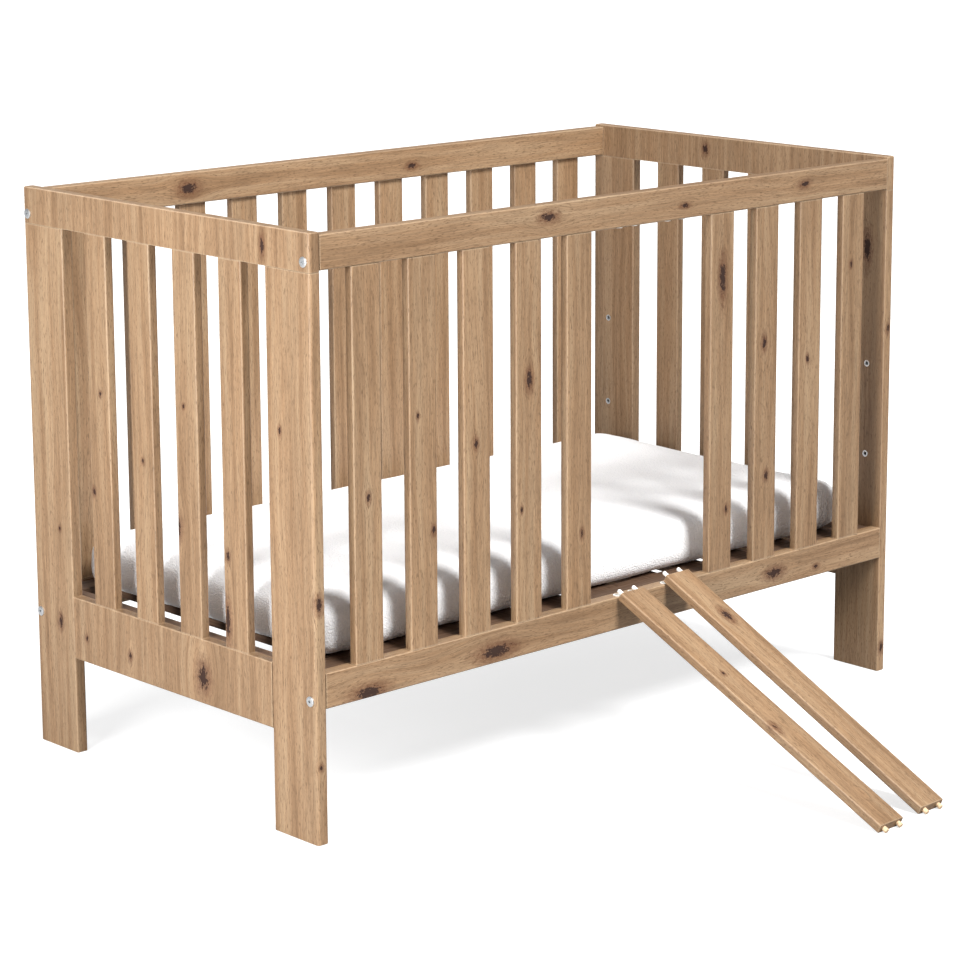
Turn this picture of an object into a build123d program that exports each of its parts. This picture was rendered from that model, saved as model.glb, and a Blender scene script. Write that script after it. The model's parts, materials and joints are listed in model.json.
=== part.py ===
from build123d import *
import os
from math import asin, atan2, cos, degrees, hypot, radians, sin

# Wooden cot used as a playpen, in millimetres. X runs along the cot, the front side faces -Y, and the
# origin is on the floor at the centre of the four feet. Two slats of the front side are taken out and
# lean on the front bottom rail.

# Overall sizes
INNER_LENGTH = 1204.0
WIDTH = 680.0
HEIGHT = 875.0
BOARD = 19.0
HALF_LENGTH = INNER_LENGTH / 2
HALF_WIDTH = WIDTH / 2

# End boards
LEG_WIDTH = 98.0
END_TOP_RAIL_HEIGHT = 56.0
END_BOTTOM_RAIL_LOW = 152.0
BOTTOM_RAIL_TOP = 250.0
LEG_TOP = HEIGHT - END_TOP_RAIL_HEIGHT
LEG_INNER_Y = HALF_WIDTH - LEG_WIDTH
OUTER_CORNER = 5.0
INNER_CORNER = 3.0

# Side rails
RAIL_DEPTH = 22.0
SIDE_BOTTOM_RAIL_LOW = 198.0
SIDE_TOP_RAIL_HEIGHT = 50.0
SIDE_TOP_RAIL_DROP = 4.0
SIDE_TOP_RAIL_TOP = HEIGHT - SIDE_TOP_RAIL_DROP
SIDE_TOP_RAIL_LOW = SIDE_TOP_RAIL_TOP - SIDE_TOP_RAIL_HEIGHT
RAIL_EDGE = 2.5
SEAM_EDGE = 1.2

# Slats
SLAT_WIDTH = 52.0
SLAT_DEPTH = 15.0
SLAT_EDGE = 3.0
END_SLATS = 4
END_SLAT_SET_BACK = 1.0
SIDE_SLATS = 11
SIDE_SLAT_PITCH = 104.0
SIDE_SLAT_SET_BACK = 0.5

# Removable slats and their pins and sockets
LOOSE_SLAT_LENGTH = 568.0
LOOSE_SLAT_CHAMFER = 0.8
PIN_SPACING = 32.0
DOWEL_PIN_REACH = 7.5
SPRING_PIN_RADIUS = 3.25
SPRING_PIN_REACH = 13.0
COLLAR_RADIUS = 4.2
COLLAR_THICKNESS = 3.0
MOUTH_DEPTH = 5.0
SPRING_WELL_DEPTH = 34.0
SPRING_WELL_RADIUS = 4.28
SPRING_TURNS = 8
SPRING_WIRE_RADIUS = 0.45
BUSH_RADIUS = 5.5
BUSH_DEPTH = 15.0
BUSH_FLANGE_RADIUS = 6.2
BUSH_FLANGE = 1.0
BUSH_FLOOR = 2.0
LOWER_SOCKET_RADIUS = 4.25
UPPER_SOCKET_RADIUS = 3.45

# How the removable slats lean: the middle in X and the turn of each, how far its wood reaches past the
# front edge of the socket bushes, and whether it lies on them with its pins or with its wood
LEAN_CLEARANCE = 0.35
LEANING = {
    6: {"x": 2.0, "turn": 1.28, "overhang": -5.5, "half_thickness": SPRING_PIN_RADIUS},
    7: {"x": 108.5, "turn": 0.93, "overhang": 3.5, "half_thickness": SLAT_DEPTH / 2},
}

# Dowels
DOWEL_RADIUS = 3.95
DOWEL_HOLE_RADIUS = 4.05
DOWEL_HALF = 15.0

# Bolts, nuts and inserts, all with a 6 mm thread drawn plain
THREAD_RADIUS = 3.0
SHANK_RADIUS = 2.95
BOLT_HOLE_RADIUS = 3.3
CORNER_BOLT_LENGTH = 60.0
CORNER_BOLT_HEAD_RADIUS = 7.5
CORNER_BOLT_HEAD = 2.6
CORNER_BOLT_EDGE = 12.0
CORNER_BOLT_RISE = 13.0
CORNER_BOLT_DEPTH = 45.0
HEX_SOCKET = 4.0
HEX_DEPTH = 2.2
BARREL_NUT_RADIUS = 5.0
BARREL_NUT_LENGTH = 14.0
BARREL_NUT_FROM_END = 32.0
INSERT_RADIUS = 5.5
INSERT_DEPTH = 13.0
INSERT_MOUTH = 0.5
INSERT_Y = 304.0
BASE_HEIGHTS = (218.0, 372.0, 526.0)

# Mattress base
BASE_GAP_X = 1.5
BASE_GAP_Y = 3.0
BASE_END_BAR = 18.0
BASE_TOP = 248.0
BASE_END_BAR_HEIGHT = 45.0
BASE_SIDE_BAR_WIDTH = 40.0
BASE_SIDE_BAR_HEIGHT = 18.0
BASE_SLATS = 11
BASE_SLAT_WIDTH = 60.0
BASE_SLAT_THICKNESS = 12.0
BASE_SLAT_SEAT = 15.0
BASE_BOLT_LENGTH = 30.0
BASE_BOLT_HEAD_RADIUS = 6.5
BASE_BOLT_HEAD = 3.0

# Mattress
MATTRESS = (1150.0, 600.0, 80.0)
MATTRESS_CORNER = 38.0
MATTRESS_EDGE = 22.0
MATTRESS_LIFT = 0.3

TOP_RAIL_BOLT_Z = SIDE_TOP_RAIL_LOW + CORNER_BOLT_RISE
BOTTOM_RAIL_BOLT_Z = SIDE_BOTTOM_RAIL_LOW + CORNER_BOLT_RISE
CORNER_BOLT_Y = HALF_WIDTH - CORNER_BOLT_EDGE
BARREL_NUT_X = HALF_LENGTH - BARREL_NUT_FROM_END
SIDE_SLAT_Y = HALF_WIDTH - SIDE_SLAT_SET_BACK - SLAT_DEPTH / 2
END_SLAT_X = HALF_LENGTH + BOARD - END_SLAT_SET_BACK - SLAT_DEPTH / 2
BOARD_X = HALF_LENGTH + BOARD / 2
BASE_HALF_X = HALF_LENGTH - BASE_GAP_X
BASE_HALF_Y = HALF_WIDTH - RAIL_DEPTH - BASE_GAP_Y
BASE_INNER_X = BASE_HALF_X - BASE_END_BAR
PIN_OFFSETS = (-PIN_SPACING / 2, PIN_SPACING / 2)
ENDS = {"left": -1, "right": 1}
SIDES = {"front": -1, "rear": 1}


def block(low, high):
    """A box between two corners."""
    size = [h - l for l, h in zip(low, high)]
    middle = [(h + l) / 2 for l, h in zip(low, high)]
    return Pos(*middle) * Box(*size)


def rod(start, direction, length, radius):
    """A cylinder that runs from a point along a direction."""
    plane = Plane(origin=start, z_dir=direction)
    return extrude(plane * Circle(radius), length)


def bar(low, high, along, radius):
    """A box whose four edges along one axis are rounded."""
    box = block(low, high)
    return fillet(box.edges().filter_by(along), radius)


def board(low, high):
    """An end board: its upright edges are rounded, most of all at the cot's outer corners."""
    box = block(low, high)
    upright = box.edges().filter_by(Axis.Z)
    outer = upright.filter_by(
        lambda e: abs(e.center().X - high[0]) < 1e-6 and abs(abs(e.center().Y) - HALF_WIDTH) < 1e-6
    )
    inner = [e for e in upright if e not in outer]
    box = fillet(inner, INNER_CORNER)
    if not outer:
        return box
    upright = box.edges().filter_by(Axis.Z).filter_by(
        lambda e: e.center().X > high[0] - 1e-6 and abs(e.center().Y) > HALF_WIDTH - 1e-6
    )
    return fillet(upright, OUTER_CORNER)


def round_rim(part, z, radius):
    """Rounds the edges of the face at one height."""
    rim = part.edges().filter_by(lambda e: abs(e.bounding_box().min.Z - z) < 1e-6).filter_by(
        lambda e: abs(e.bounding_box().max.Z - z) < 1e-6
    )
    return fillet(rim, radius)


def end_slat_places():
    """The middles in Y of an end's slats, which share the space between the legs evenly."""
    gap = (2 * LEG_INNER_Y - END_SLATS * SLAT_WIDTH) / (END_SLATS + 1)
    return [-LEG_INNER_Y + gap + SLAT_WIDTH / 2 + i * (gap + SLAT_WIDTH) for i in range(END_SLATS)]


def side_slat_x(place):
    """The middle in X of a side's slat place, counted from 1 at the left end."""
    return (place - (SIDE_SLATS + 1) / 2) * SIDE_SLAT_PITCH


def base_slat_places():
    """The middles in X of the base slats."""
    gap = (2 * BASE_INNER_X - BASE_SLATS * BASE_SLAT_WIDTH) / (BASE_SLATS + 1)
    pitch = gap + BASE_SLAT_WIDTH
    return [-BASE_INNER_X + gap + BASE_SLAT_WIDTH / 2 + i * pitch for i in range(BASE_SLATS)]


# Where dowels cross from one board to the next: a point on the joint and the dowel's direction.
# The lists are for the right end, the front side and the right half of the base.
def end_dowels():
    """The joints of the right end."""
    joints = []
    for y in (HALF_WIDTH - 28, HALF_WIDTH - 74):
        joints += [((BOARD_X, s * y, LEG_TOP), (0, 0, 1)) for s in (-1, 1)]
    for z in (END_BOTTOM_RAIL_LOW + 22, BOTTOM_RAIL_TOP - 22):
        joints += [((BOARD_X, s * LEG_INNER_Y, z), (0, 1, 0)) for s in (-1, 1)]
    for y in end_slat_places():
        for offset in PIN_OFFSETS:
            joints += [((END_SLAT_X, y + offset, z), (0, 0, 1)) for z in (BOTTOM_RAIL_TOP, LEG_TOP)]
    return joints


def side_dowels(places):
    """The joints between the front rails and the slats at some places."""
    return [
        ((side_slat_x(place) + offset, -SIDE_SLAT_Y, z), (0, 0, 1))
        for place in places
        for offset in PIN_OFFSETS
        for z in (BOTTOM_RAIL_TOP, SIDE_TOP_RAIL_LOW)
    ]


def base_dowels():
    """The joints between the right base end bar and the two side bars."""
    z = BASE_TOP - BASE_SIDE_BAR_HEIGHT / 2
    return [
        ((BASE_INNER_X, s * (BASE_HALF_Y - offset), z), (1, 0, 0)) for s in (-1, 1) for offset in (10, 30)
    ]


def dowel(joint, radius, length=2 * DOWEL_HALF):
    """A dowel, or the hole for one, centred on its joint."""
    point, direction = joint
    start = [p - d * length / 2 for p, d in zip(point, direction)]
    return rod(start, direction, length, radius)


def drilled(part, joints):
    """The part without the dowel holes that reach into it."""
    return part - [dowel(joint, DOWEL_HOLE_RADIUS) for joint in joints]


def leg(side):
    """A leg of the right end, on the front or rear side."""
    low, high = sorted((side * LEG_INNER_Y, side * HALF_WIDTH))
    part = board((HALF_LENGTH, low, 0), (HALF_LENGTH + BOARD, high, LEG_TOP))
    part = round_rim(part, 0, SEAM_EDGE)
    part -= rod((HALF_LENGTH, side * CORNER_BOLT_Y, BOTTOM_RAIL_BOLT_Z), (1, 0, 0), BOARD, BOLT_HOLE_RADIUS)
    for z in BASE_HEIGHTS:
        part -= rod((HALF_LENGTH, side * INSERT_Y, z), (1, 0, 0), INSERT_DEPTH, INSERT_RADIUS)
    return drilled(part, end_dowels())


def end_top_rail():
    """The full-width board above the legs of the right end."""
    part = board((HALF_LENGTH, -HALF_WIDTH, LEG_TOP), (HALF_LENGTH + BOARD, HALF_WIDTH, HEIGHT))
    part = round_rim(part, HEIGHT, RAIL_EDGE)
    part = round_rim(part, LEG_TOP, SEAM_EDGE)
    for side in SIDES.values():
        part -= rod((HALF_LENGTH, side * CORNER_BOLT_Y, TOP_RAIL_BOLT_Z), (1, 0, 0), BOARD, BOLT_HOLE_RADIUS)
    return drilled(part, end_dowels())


def end_bottom_rail():
    """The board between the legs of the right end."""
    low = (HALF_LENGTH, -LEG_INNER_Y, END_BOTTOM_RAIL_LOW)
    high = (HALF_LENGTH + BOARD, LEG_INNER_Y, BOTTOM_RAIL_TOP)
    return drilled(bar(low, high, Axis.Y, RAIL_EDGE), end_dowels())


def end_slat(y):
    """A slat of the right end."""
    low = (END_SLAT_X - SLAT_DEPTH / 2, y - SLAT_WIDTH / 2, BOTTOM_RAIL_TOP)
    high = (END_SLAT_X + SLAT_DEPTH / 2, y + SLAT_WIDTH / 2, LEG_TOP)
    return drilled(bar(low, high, Axis.Z, SLAT_EDGE), end_dowels())


def side_rail(low_z, high_z, bolt_z, places):
    """A rail of the front side, bored for its corner bolts, barrel nuts and slat dowels."""
    low = (-HALF_LENGTH, -HALF_WIDTH, low_z)
    high = (HALF_LENGTH, -HALF_WIDTH + RAIL_DEPTH, high_z)
    part = bar(low, high, Axis.X, RAIL_EDGE)
    for end in ENDS.values():
        start = (end * HALF_LENGTH, -CORNER_BOLT_Y, bolt_z)
        part -= rod(start, (-end, 0, 0), CORNER_BOLT_DEPTH, BOLT_HOLE_RADIUS)
        nut_hole = CORNER_BOLT_RISE + BARREL_NUT_LENGTH / 2
        part -= rod((end * BARREL_NUT_X, -CORNER_BOLT_Y, low_z), (0, 0, 1), nut_hole, BARREL_NUT_RADIUS + 0.1)
    return drilled(part, side_dowels(places))


def side_slat(place):
    """A fixed slat of the front side."""
    x = side_slat_x(place)
    low = (x - SLAT_WIDTH / 2, -SIDE_SLAT_Y - SLAT_DEPTH / 2, BOTTOM_RAIL_TOP)
    high = (x + SLAT_WIDTH / 2, -SIDE_SLAT_Y + SLAT_DEPTH / 2, SIDE_TOP_RAIL_LOW)
    return drilled(bar(low, high, Axis.Z, SLAT_EDGE), side_dowels([place]))


def socket_points():
    """The four places in X where a removable slat's pins enter the rails."""
    return [side_slat_x(place) + offset for place in LEANING for offset in PIN_OFFSETS]


def socket_bush(x, face_z, up, bore_radius):
    """A plastic bush in a rail's face, which opens towards up (1) or down (-1)."""
    mouth = face_z + up * BUSH_FLANGE
    part = rod((x, -SIDE_SLAT_Y, face_z), (0, 0, -up), BUSH_DEPTH, BUSH_RADIUS)
    part += rod((x, -SIDE_SLAT_Y, face_z), (0, 0, up), BUSH_FLANGE, BUSH_FLANGE_RADIUS)
    bore_depth = BUSH_DEPTH + BUSH_FLANGE - BUSH_FLOOR
    return part - rod((x, -SIDE_SLAT_Y, mouth), (0, 0, -up), bore_depth, bore_radius)


def with_sockets(rail, face_z, up):
    """A front rail with the holes that its bushes sit in."""
    holes = [
        rod((x, -SIDE_SLAT_Y, face_z), (0, 0, -up), BUSH_DEPTH, BUSH_RADIUS + 0.02) for x in socket_points()
    ]
    return rail - holes


# A removable slat is drawn upright on its own origin at the middle of its lower end, with its front face
# towards -Y, and is then laid in its leaning place.
def loose_slat():
    """The wooden slat with its dowel holes below and its spring wells above."""
    half_width, half_depth = SLAT_WIDTH / 2, SLAT_DEPTH / 2
    part = bar((-half_width, -half_depth, 0), (half_width, half_depth, LOOSE_SLAT_LENGTH), Axis.Z, SLAT_EDGE)
    for z in (0, LOOSE_SLAT_LENGTH):
        rim = part.faces().sort_by(Axis.Z)[0 if z == 0 else -1].edges()
        part = chamfer(rim, LOOSE_SLAT_CHAMFER)
    for x in PIN_OFFSETS:
        part -= rod((x, 0, 0), (0, 0, 1), DOWEL_HALF, DOWEL_HOLE_RADIUS)
        part -= rod((x, 0, LOOSE_SLAT_LENGTH), (0, 0, -1), MOUTH_DEPTH, SPRING_PIN_RADIUS + 0.08)
        well = SPRING_WELL_DEPTH - MOUTH_DEPTH
        part -= rod((x, 0, LOOSE_SLAT_LENGTH - MOUTH_DEPTH), (0, 0, -1), well, SPRING_WELL_RADIUS)
    return part


def dowel_pin(x):
    """A wooden pin in the slat's lower end."""
    part = rod((x, 0, -DOWEL_PIN_REACH), (0, 0, 1), DOWEL_PIN_REACH + DOWEL_HALF, DOWEL_RADIUS)
    tip = part.edges().filter_by(GeomType.CIRCLE).sort_by(Axis.Z)[0]
    return chamfer(tip, LOOSE_SLAT_CHAMFER)


def spring_pin(x):
    """A plunger that the spring holds out of the slat's upper end, with the collar that keeps it in."""
    seat = LOOSE_SLAT_LENGTH - MOUTH_DEPTH
    part = rod((x, 0, seat), (0, 0, 1), MOUTH_DEPTH + SPRING_PIN_REACH, SPRING_PIN_RADIUS)
    tip = part.edges().filter_by(GeomType.CIRCLE).sort_by(Axis.Z)[-1]
    part = fillet(tip, SPRING_PIN_RADIUS / 2)
    return part + rod((x, 0, seat - COLLAR_THICKNESS), (0, 0, 1), COLLAR_THICKNESS, COLLAR_RADIUS)


def pin_spring(x):
    """The coil spring between a plunger's collar and the bottom of its well."""
    length = SPRING_WELL_DEPTH - MOUTH_DEPTH - COLLAR_THICKNESS
    coil_radius = SPRING_WELL_RADIUS - 2 * SPRING_WIRE_RADIUS
    path = Helix((length - 2 * SPRING_WIRE_RADIUS) / SPRING_TURNS, length - 2 * SPRING_WIRE_RADIUS, coil_radius)
    section = Plane(origin=path @ 0, z_dir=path % 0) * Circle(SPRING_WIRE_RADIUS)
    coil = sweep(section, path=path, is_frenet=True)
    bottom = LOOSE_SLAT_LENGTH - SPRING_WELL_DEPTH
    box = coil.bounding_box()
    return Pos(x, 0, bottom - box.min.Z + (length - box.size.Z) / 2) * coil


def lean(x, turn, overhang, half_thickness):
    """Where a removable slat leans, with its lowest point on the floor. The slope and the height of the
    foot depend on each other, so they are found in a few rounds."""
    rest_y = -SIDE_SLAT_Y - BUSH_FLANGE_RADIUS
    rest_z = BOTTOM_RAIL_TOP + BUSH_FLANGE
    along = LOOSE_SLAT_LENGTH - overhang
    below = half_thickness + LEAN_CLEARANCE
    tips = (
        (LOOSE_SLAT_CHAMFER, SLAT_DEPTH / 2),
        (0, SLAT_DEPTH / 2 - LOOSE_SLAT_CHAMFER),
        (LOOSE_SLAT_CHAMFER - DOWEL_PIN_REACH, DOWEL_RADIUS),
    )
    slope = radians(25)
    for _ in range(20):
        foot_z = max(across * cos(slope) - out * sin(slope) for out, across in tips)
        slope = asin((rest_z - foot_z) / hypot(along, below)) + atan2(below, along)
    foot_y = -along * cos(slope) - below * sin(slope)
    return Pos(x, rest_y, 0) * Rot(0, 0, turn) * Pos(0, foot_y, foot_z) * Rot(degrees(slope) - 90, 0, 0)


def cap_bolt(head_point, direction, length, head_radius, head_height):
    """A bolt with a low rounded head and a hex socket; the point is under the head, on the axis."""
    back = [-d for d in direction]
    head = rod(head_point, back, head_height, head_radius)
    plane = Plane(origin=head_point, z_dir=back)
    top = plane.origin + plane.z_dir * head_height
    rim = head.edges().filter_by(GeomType.CIRCLE).sort_by_distance(top)[0]
    head = fillet(rim, head_height * 0.45)
    part = head + rod(head_point, direction, length, SHANK_RADIUS)
    socket = Plane(origin=top, z_dir=direction) * RegularPolygon(HEX_SOCKET / 2, 6, major_radius=False)
    return part - extrude(socket, HEX_DEPTH)


def barrel_nut(x, y, z):
    """A cross dowel with its thread along X."""
    part = rod((x, y, z - BARREL_NUT_LENGTH / 2), (0, 0, 1), BARREL_NUT_LENGTH, BARREL_NUT_RADIUS)
    slot = block(
        (x - 5, y - 0.6, z - BARREL_NUT_LENGTH / 2), (x + 5, y + 0.6, z - BARREL_NUT_LENGTH / 2 + 1.2)
    )
    return part - slot - rod((x - 6, y, z), (1, 0, 0), 12, THREAD_RADIUS)


def threaded_insert(end, y, z):
    """A metal sleeve in a leg's inner face, open towards the inside of the cot."""
    mouth = (end * HALF_LENGTH, y, z)
    part = rod(mouth, (end, 0, 0), INSERT_DEPTH, INSERT_RADIUS - 0.05)
    part -= rod(mouth, (end, 0, 0), INSERT_DEPTH, THREAD_RADIUS)
    rim = part.edges().filter_by(GeomType.CIRCLE).filter_by(lambda e: abs(e.radius - THREAD_RADIUS) < 1e-6)
    return chamfer(rim.sort_by_distance(mouth)[0], INSERT_MOUTH)


def base_end_bar(end):
    """A bar on edge across the cot that carries the base's bolts."""
    low_x, high_x = sorted((end * BASE_HALF_X, end * BASE_INNER_X))
    low = (low_x, -BASE_HALF_Y, BASE_TOP - BASE_END_BAR_HEIGHT)
    part = bar(low, (high_x, BASE_HALF_Y, BASE_TOP), Axis.Y, SEAM_EDGE)
    for side in SIDES.values():
        start = (low_x, side * INSERT_Y, BASE_HEIGHTS[0])
        part -= rod(start, (1, 0, 0), BASE_END_BAR, BOLT_HOLE_RADIUS)
    return part


def base_side_bar(side):
    """A flat bar along the cot, notched for the ends of the base slats."""
    low_y, high_y = sorted((side * BASE_HALF_Y, side * (BASE_HALF_Y - BASE_SIDE_BAR_WIDTH)))
    low = (-BASE_INNER_X, low_y, BASE_TOP - BASE_SIDE_BAR_HEIGHT)
    part = bar(low, (BASE_INNER_X, high_y, BASE_TOP), Axis.X, SEAM_EDGE)
    inner = side * (BASE_HALF_Y - BASE_SIDE_BAR_WIDTH)
    seat = inner + side * BASE_SLAT_SEAT
    low_y, high_y = sorted((inner, seat))
    for x in base_slat_places():
        part -= block(
            (x - BASE_SLAT_WIDTH / 2, low_y, BASE_TOP - BASE_SLAT_THICKNESS),
            (x + BASE_SLAT_WIDTH / 2, high_y, BASE_TOP),
        )
    return part


def base_slat(x):
    """A board across the base."""
    half = BASE_HALF_Y - BASE_SIDE_BAR_WIDTH + BASE_SLAT_SEAT
    low = (x - BASE_SLAT_WIDTH / 2, -half, BASE_TOP - BASE_SLAT_THICKNESS)
    return bar(low, (x + BASE_SLAT_WIDTH / 2, half, BASE_TOP), Axis.Y, SEAM_EDGE)


def mattress():
    """The mattress as a plain rounded block."""
    length, width, thickness = MATTRESS
    low = (-length / 2, -width / 2, BASE_TOP + MATTRESS_LIFT)
    part = block(low, (length / 2, width / 2, BASE_TOP + MATTRESS_LIFT + thickness))
    part = fillet(part.edges().filter_by(Axis.Z), MATTRESS_CORNER)
    part = round_rim(part, BASE_TOP + MATTRESS_LIFT, MATTRESS_EDGE)
    return round_rim(part, BASE_TOP + MATTRESS_LIFT + thickness, MATTRESS_EDGE)


def write(name, solids):
    """Writes one node from one solid or several separate ones."""
    shape = Compound(children=[s.solid() for s in solids])
    export_step(shape, f"parts/{name}.step")


def flip(part, x_sign, y_sign):
    """The part on another end or side of the cot."""
    if x_sign < 0:
        part = mirror(part, about=Plane.YZ)
    if y_sign < 0:
        part = mirror(part, about=Plane.XZ)
    return part


def write_ends():
    for name, end in ENDS.items():
        for side_name, side in SIDES.items():
            write(f"{name}_{side_name}_leg", [flip(leg(side), end, 1)])
        write(f"{name}_end_top_rail", [flip(end_top_rail(), end, 1)])
        write(f"{name}_end_bottom_rail", [flip(end_bottom_rail(), end, 1)])
        for number, y in enumerate(end_slat_places(), 1):
            write(f"{name}_end_slat_{number}", [flip(end_slat(y), end, 1)])


def write_sides():
    places = range(1, SIDE_SLATS + 1)
    fixed = {"front": [p for p in places if p not in LEANING], "rear": list(places)}
    for name, side in SIDES.items():
        top = side_rail(SIDE_TOP_RAIL_LOW, SIDE_TOP_RAIL_TOP, TOP_RAIL_BOLT_Z, fixed[name])
        bottom = side_rail(SIDE_BOTTOM_RAIL_LOW, BOTTOM_RAIL_TOP, BOTTOM_RAIL_BOLT_Z, fixed[name])
        if name == "front":
            top = with_sockets(top, SIDE_TOP_RAIL_LOW, -1)
            bottom = with_sockets(bottom, BOTTOM_RAIL_TOP, 1)
        write(f"{name}_top_rail", [flip(top, 1, -side)])
        write(f"{name}_bottom_rail", [flip(bottom, 1, -side)])
        for place in fixed[name]:
            write(f"{name}_slat_{place}", [flip(side_slat(place), 1, -side)])
    bushes = [socket_bush(x, BOTTOM_RAIL_TOP, 1, LOWER_SOCKET_RADIUS) for x in socket_points()]
    bushes += [socket_bush(x, SIDE_TOP_RAIL_LOW, -1, UPPER_SOCKET_RADIUS) for x in socket_points()]
    write("slat_socket_bushes", bushes)
    joints = [dowel(j, DOWEL_RADIUS) for j in side_dowels(fixed["front"])]
    joints += [mirror(dowel(j, DOWEL_RADIUS), about=Plane.XZ) for j in side_dowels(fixed["rear"])]
    for end in ENDS.values():
        joints += [flip(dowel(j, DOWEL_RADIUS), end, 1) for j in end_dowels() + base_dowels()]
    write("dowels", joints)


def write_removable_slats():
    for place, pose in LEANING.items():
        where = lean(**pose)
        write(f"removable_slat_{place}", [where * loose_slat()])
        write(f"removable_slat_{place}_dowel_pins", [where * dowel_pin(x) for x in PIN_OFFSETS])
        write(f"removable_slat_{place}_springs", [where * pin_spring(x) for x in PIN_OFFSETS])
        for hand, x in zip(ENDS, PIN_OFFSETS):
            write(f"removable_slat_{place}_{hand}_spring_pin", [where * spring_pin(x)])


def write_base_and_bedding():
    bars = [base_end_bar(end) for end in ENDS.values()]
    bars = [b - [flip(dowel(j, DOWEL_HOLE_RADIUS), e, 1) for j in base_dowels()] for b, e in zip(bars, (-1, 1))]
    write("base_end_bars", bars)
    holes = [flip(dowel(j, DOWEL_HOLE_RADIUS), e, 1) for j in base_dowels() for e in ENDS.values()]
    write("base_side_bars", [base_side_bar(side) - holes for side in SIDES.values()])
    write("base_slats", [base_slat(x) for x in base_slat_places()])
    write("mattress", [mattress()])


def write_fasteners():
    corner_bolts, nuts, base_bolts, inserts = [], [], [], []
    for end in ENDS.values():
        for side in SIDES.values():
            for z in (BOTTOM_RAIL_BOLT_Z, TOP_RAIL_BOLT_Z):
                point = (end * (HALF_LENGTH + BOARD), side * CORNER_BOLT_Y, z)
                corner_bolts.append(
                    cap_bolt(point, (-end, 0, 0), CORNER_BOLT_LENGTH, CORNER_BOLT_HEAD_RADIUS, CORNER_BOLT_HEAD)
                )
                nuts.append(barrel_nut(end * BARREL_NUT_X, side * CORNER_BOLT_Y, z))
            point = (end * BASE_INNER_X, side * INSERT_Y, BASE_HEIGHTS[0])
            base_bolts.append(
                cap_bolt(point, (end, 0, 0), BASE_BOLT_LENGTH, BASE_BOLT_HEAD_RADIUS, BASE_BOLT_HEAD)
            )
            inserts += [threaded_insert(end, side * INSERT_Y, z) for z in BASE_HEIGHTS]
    write("corner_bolts", corner_bolts)
    write("barrel_nuts", nuts)
    write("base_bolts", base_bolts)
    write("threaded_inserts", inserts)


os.makedirs("parts", exist_ok=True)
write_ends()
write_sides()
write_removable_slats()
write_base_and_bedding()
write_fasteners()
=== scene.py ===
"""Looks for a slatted wooden cot used as a playpen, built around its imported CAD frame."""

from __future__ import annotations

import json
import logging
import math
from dataclasses import dataclass, field
from enum import Enum
from typing import Any

import bmesh
import bpy
from mathutils import Euler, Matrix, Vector, noise

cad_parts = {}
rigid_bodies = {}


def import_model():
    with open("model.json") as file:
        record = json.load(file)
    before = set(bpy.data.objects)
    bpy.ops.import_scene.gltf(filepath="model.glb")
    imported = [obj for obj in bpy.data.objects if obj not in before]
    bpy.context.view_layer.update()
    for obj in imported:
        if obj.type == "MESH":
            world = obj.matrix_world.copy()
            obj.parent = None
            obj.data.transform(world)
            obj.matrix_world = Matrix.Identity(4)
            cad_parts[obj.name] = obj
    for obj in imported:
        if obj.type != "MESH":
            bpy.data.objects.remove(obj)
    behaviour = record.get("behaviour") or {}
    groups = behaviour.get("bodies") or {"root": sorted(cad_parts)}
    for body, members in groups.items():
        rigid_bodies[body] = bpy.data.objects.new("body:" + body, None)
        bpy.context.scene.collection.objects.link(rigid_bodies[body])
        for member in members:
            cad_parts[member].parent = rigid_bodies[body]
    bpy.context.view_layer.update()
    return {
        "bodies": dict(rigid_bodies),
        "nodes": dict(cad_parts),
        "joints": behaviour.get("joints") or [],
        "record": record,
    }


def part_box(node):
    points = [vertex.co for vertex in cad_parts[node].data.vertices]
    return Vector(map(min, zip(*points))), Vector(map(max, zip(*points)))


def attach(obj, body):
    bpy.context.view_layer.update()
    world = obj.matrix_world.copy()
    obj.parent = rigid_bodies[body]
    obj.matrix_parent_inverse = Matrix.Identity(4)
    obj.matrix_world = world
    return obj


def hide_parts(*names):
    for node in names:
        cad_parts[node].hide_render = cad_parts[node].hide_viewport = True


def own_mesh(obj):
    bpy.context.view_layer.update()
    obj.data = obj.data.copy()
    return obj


LOG = logging.getLogger("playpen")
MM_PER_M = 1000.0
SPREAD = (0.3, 0.7)  # nearly all values of a noise lie between these
MATH, VECTOR, RANGE = "ShaderNodeMath", "ShaderNodeVectorMath", "ShaderNodeMapRange"


def linear(hex_colour: str) -> tuple[float, float, float, float]:
    """Turns an sRGB hex colour into a linear colour.

    Args:
        hex_colour: six hex digits, such as "c8a684".

    Returns:
        Red, green, blue and alpha, linear.
    """
    parts = [int(hex_colour[i : i + 2], 16) / 255 for i in (0, 2, 4)]
    red, green, blue = (v / 12.92 if v <= 0.04045 else ((v + 0.055) / 1.055) ** 2.4 for v in parts)
    return red, green, blue, 1.0


def add(tree: bpy.types.NodeTree, kind: str, inputs: Any = (), **settings: Any) -> bpy.types.Node:
    """Adds a node with its settings, and links or sets its inputs.

    Args:
        tree: the node tree that gets the node.
        kind: the node's type name.
        inputs: the inputs in their order, or a dictionary of them by name or index. An output socket is
            linked, a node is linked by its first output, and a plain value is set.
        settings: properties of the node.

    Returns:
        The new node.
    """
    node = tree.nodes.new(kind)
    for name, value in settings.items():
        setattr(node, name, value)
    for key, value in inputs.items() if isinstance(inputs, dict) else enumerate(inputs):
        if isinstance(value, bpy.types.Node):
            value = value.outputs[0]
        if isinstance(value, bpy.types.NodeSocket):
            tree.links.new(value, node.inputs[key])
        else:
            node.inputs[key].default_value = value
    return node


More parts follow.
